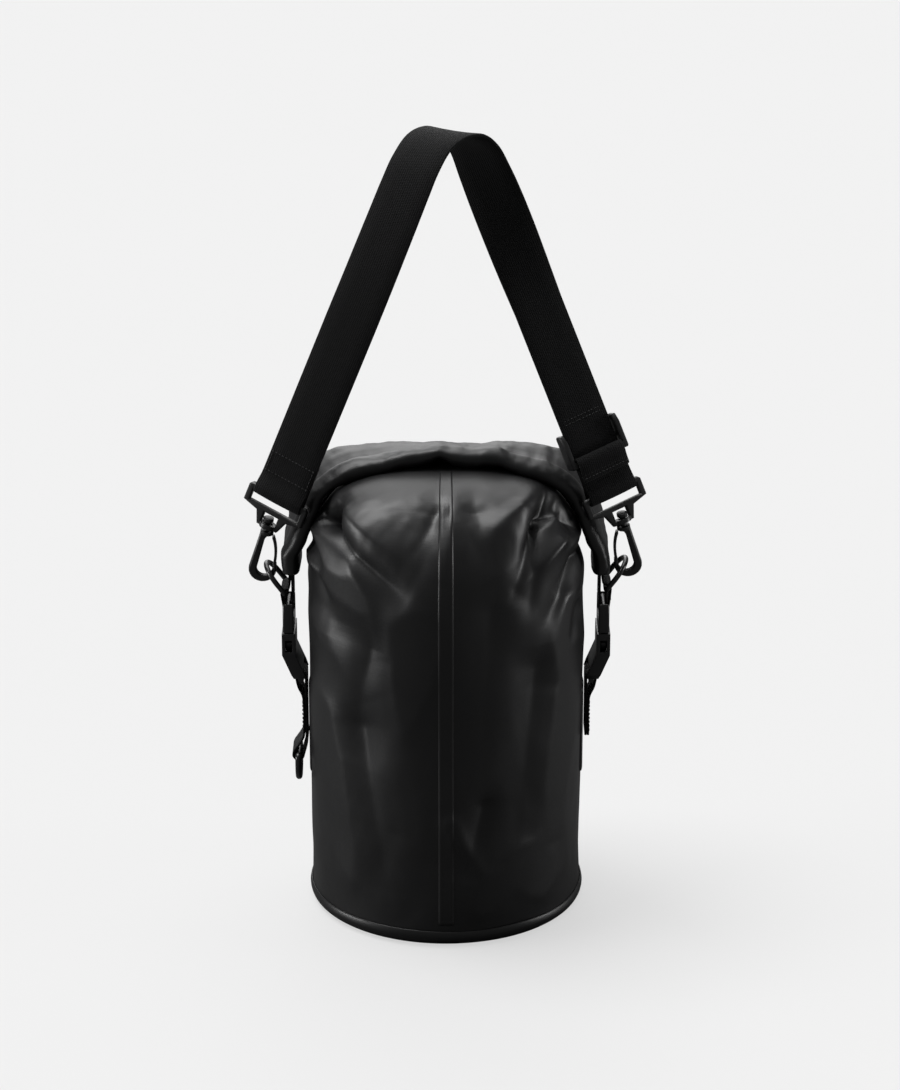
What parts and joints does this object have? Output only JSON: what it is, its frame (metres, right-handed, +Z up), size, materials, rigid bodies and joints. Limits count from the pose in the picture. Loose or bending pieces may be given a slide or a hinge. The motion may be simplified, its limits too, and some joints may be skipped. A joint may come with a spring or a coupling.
{
  "type": "rope storage bag",
  "caption": "Roll-top dry bag for storing a climbing rope, with a round base, side-release buckles, D-rings and a clip-on adjustable shoulder strap.",
  "frame": {"origin": "centre of the base's underside", "axes": "+Z up; the welded back seam faces -Y; +X is to the right when looking at the seam"},
  "size_m": [0.3026, 0.2124, 0.6051],
  "materials": {
    "coated_fabric": "black welded coated fabric, satin, fine horizontal grain",
    "webbing": "black woven polyester webbing, matt",
    "acetal": "black moulded acetal, satin",
    "ring_black": "black moulded ring, satin",
    "stiff_sheet": "plain stiffening strip"
  },
  "bodies": {
    "bag": {"bag_body": "coated_fabric", "base_panel": "coated_fabric", "back_seam_tape": "coated_fabric", "side_strap_left": "webbing", "side_strap_right": "webbing", "buckle_female_left": "acetal", "buckle_female_right": "acetal"},
    "closure": {"roll_closure": "coated_fabric", "roll_stiffener": "stiff_sheet", "end_tab_left": "webbing", "end_tab_right": "webbing", "buckle_male_left": "acetal", "buckle_male_right": "acetal"},
    "strap": {"shoulder_strap": "webbing", "adjuster_webbing": "webbing", "hook_frame_left": "acetal", "hook_frame_right": "acetal"},
    "slider": {"strap_slider": "acetal"},
    "lower_ring": {"lower_ring_left": "ring_black"},
    "ring_left": {"ring_left": "ring_black"},
    "hook_left": {"hook_left": "acetal"},
    "gate_left": {"hook_gate_left": "acetal"},
    "prong_left_front": {"prong_left_front": "acetal"},
    "prong_left_back": {"prong_left_back": "acetal"},
    "ring_right": {"ring_right": "ring_black"},
    "hook_right": {"hook_right": "acetal"},
    "gate_right": {"hook_gate_right": "acetal"},
    "prong_right_front": {"prong_right_front": "acetal"},
    "prong_right_back": {"prong_right_back": "acetal"}
  },
  "joints": [
    {"name": "closure_lift", "type": "slide", "parent": "bag", "child": "closure", "axis": [0, 0, 1], "range_m": [0, 0.075]},
    {"name": "strap_tip", "type": "hinge", "parent": "closure", "child": "strap", "pos_m": [0, -0.0065, 0.2719], "axis": [1, 0, 0], "range_deg": [0, 35]},
    {"name": "slider_slide", "type": "slide", "parent": "strap", "child": "slider", "axis": [-0.3701, 0.154, 0.9162], "range_m": [0, 0.095], "deforming": ["adjuster_webbing"]},
    {"name": "lower_ring_swing", "type": "hinge", "parent": "bag", "child": "lower_ring", "pos_m": [-0.1135, 0, 0.1175], "axis": [0, 1, 0], "range_deg": [-8, 80]},
    {"name": "ring_left_swing", "type": "hinge", "parent": "closure", "child": "ring_left", "pos_m": [-0.121, 0, 0.25], "axis": [0, 1, 0], "range_deg": [-4, 0]},
    {"name": "hook_left_swivel", "type": "hinge", "parent": "strap", "child": "hook_left", "pos_m": [-0.1338, -0.0115, 0.305], "axis": [0.1317, -0.1278, 0.983], "range_deg": [-3, 5]},
    {"name": "gate_left_press", "type": "hinge", "parent": "hook_left", "child": "gate_left", "pos_m": [-0.13019, -0.01031, 0.29582], "axis": [0, 0.9917, 0.1289], "range_deg": [0, 24], "stiffness_Nm_per_rad": 0.02},
    {"name": "prong_left_front_press", "type": "hinge", "parent": "closure", "child": "prong_left_front", "pos_m": [-0.1195, -0.0105, 0.2188], "axis": [1, 0, 0], "range_deg": [0, 8], "stiffness_Nm_per_rad": 0.05},
    {"name": "prong_left_back_press", "type": "hinge", "parent": "closure", "child": "prong_left_back", "pos_m": [-0.1195, 0.0105, 0.2188], "axis": [-1, 0, 0], "range_deg": [0, 8], "stiffness_Nm_per_rad": 0.05},
    {"name": "ring_right_swing", "type": "hinge", "parent": "closure", "child": "ring_right", "pos_m": [0.121, 0, 0.254], "axis": [0, 1, 0], "range_deg": [0, 4]},
    {"name": "hook_right_swivel", "type": "hinge", "parent": "strap", "child": "hook_right", "pos_m": [0.1326, -0.0115, 0.309], "axis": [-0.1317, -0.1278, 0.983], "range_deg": [-5, 1]},
    {"name": "gate_right_press", "type": "hinge", "parent": "hook_right", "child": "gate_right", "pos_m": [0.12899, -0.01031, 0.29982], "axis": [0, -0.9917, -0.1289], "range_deg": [0, 24], "stiffness_Nm_per_rad": 0.02},
    {"name": "prong_right_front_press", "type": "hinge", "parent": "closure", "child": "prong_right_front", "pos_m": [0.1195, -0.0105, 0.2188], "axis": [1, 0, 0], "range_deg": [0, 8], "stiffness_Nm_per_rad": 0.05},
    {"name": "prong_right_back_press", "type": "hinge", "parent": "closure", "child": "prong_right_back", "pos_m": [0.1195, 0.0105, 0.2188], "axis": [-1, 0, 0], "range_deg": [0, 8], "stiffness_Nm_per_rad": 0.05}
  ],
  "couplings": [
    {"joint": "prong_left_back_press", "follows": "prong_left_front_press", "ratio": 1},
    {"joint": "prong_right_back_press", "follows": "prong_right_front_press", "ratio": 1}
  ]
}
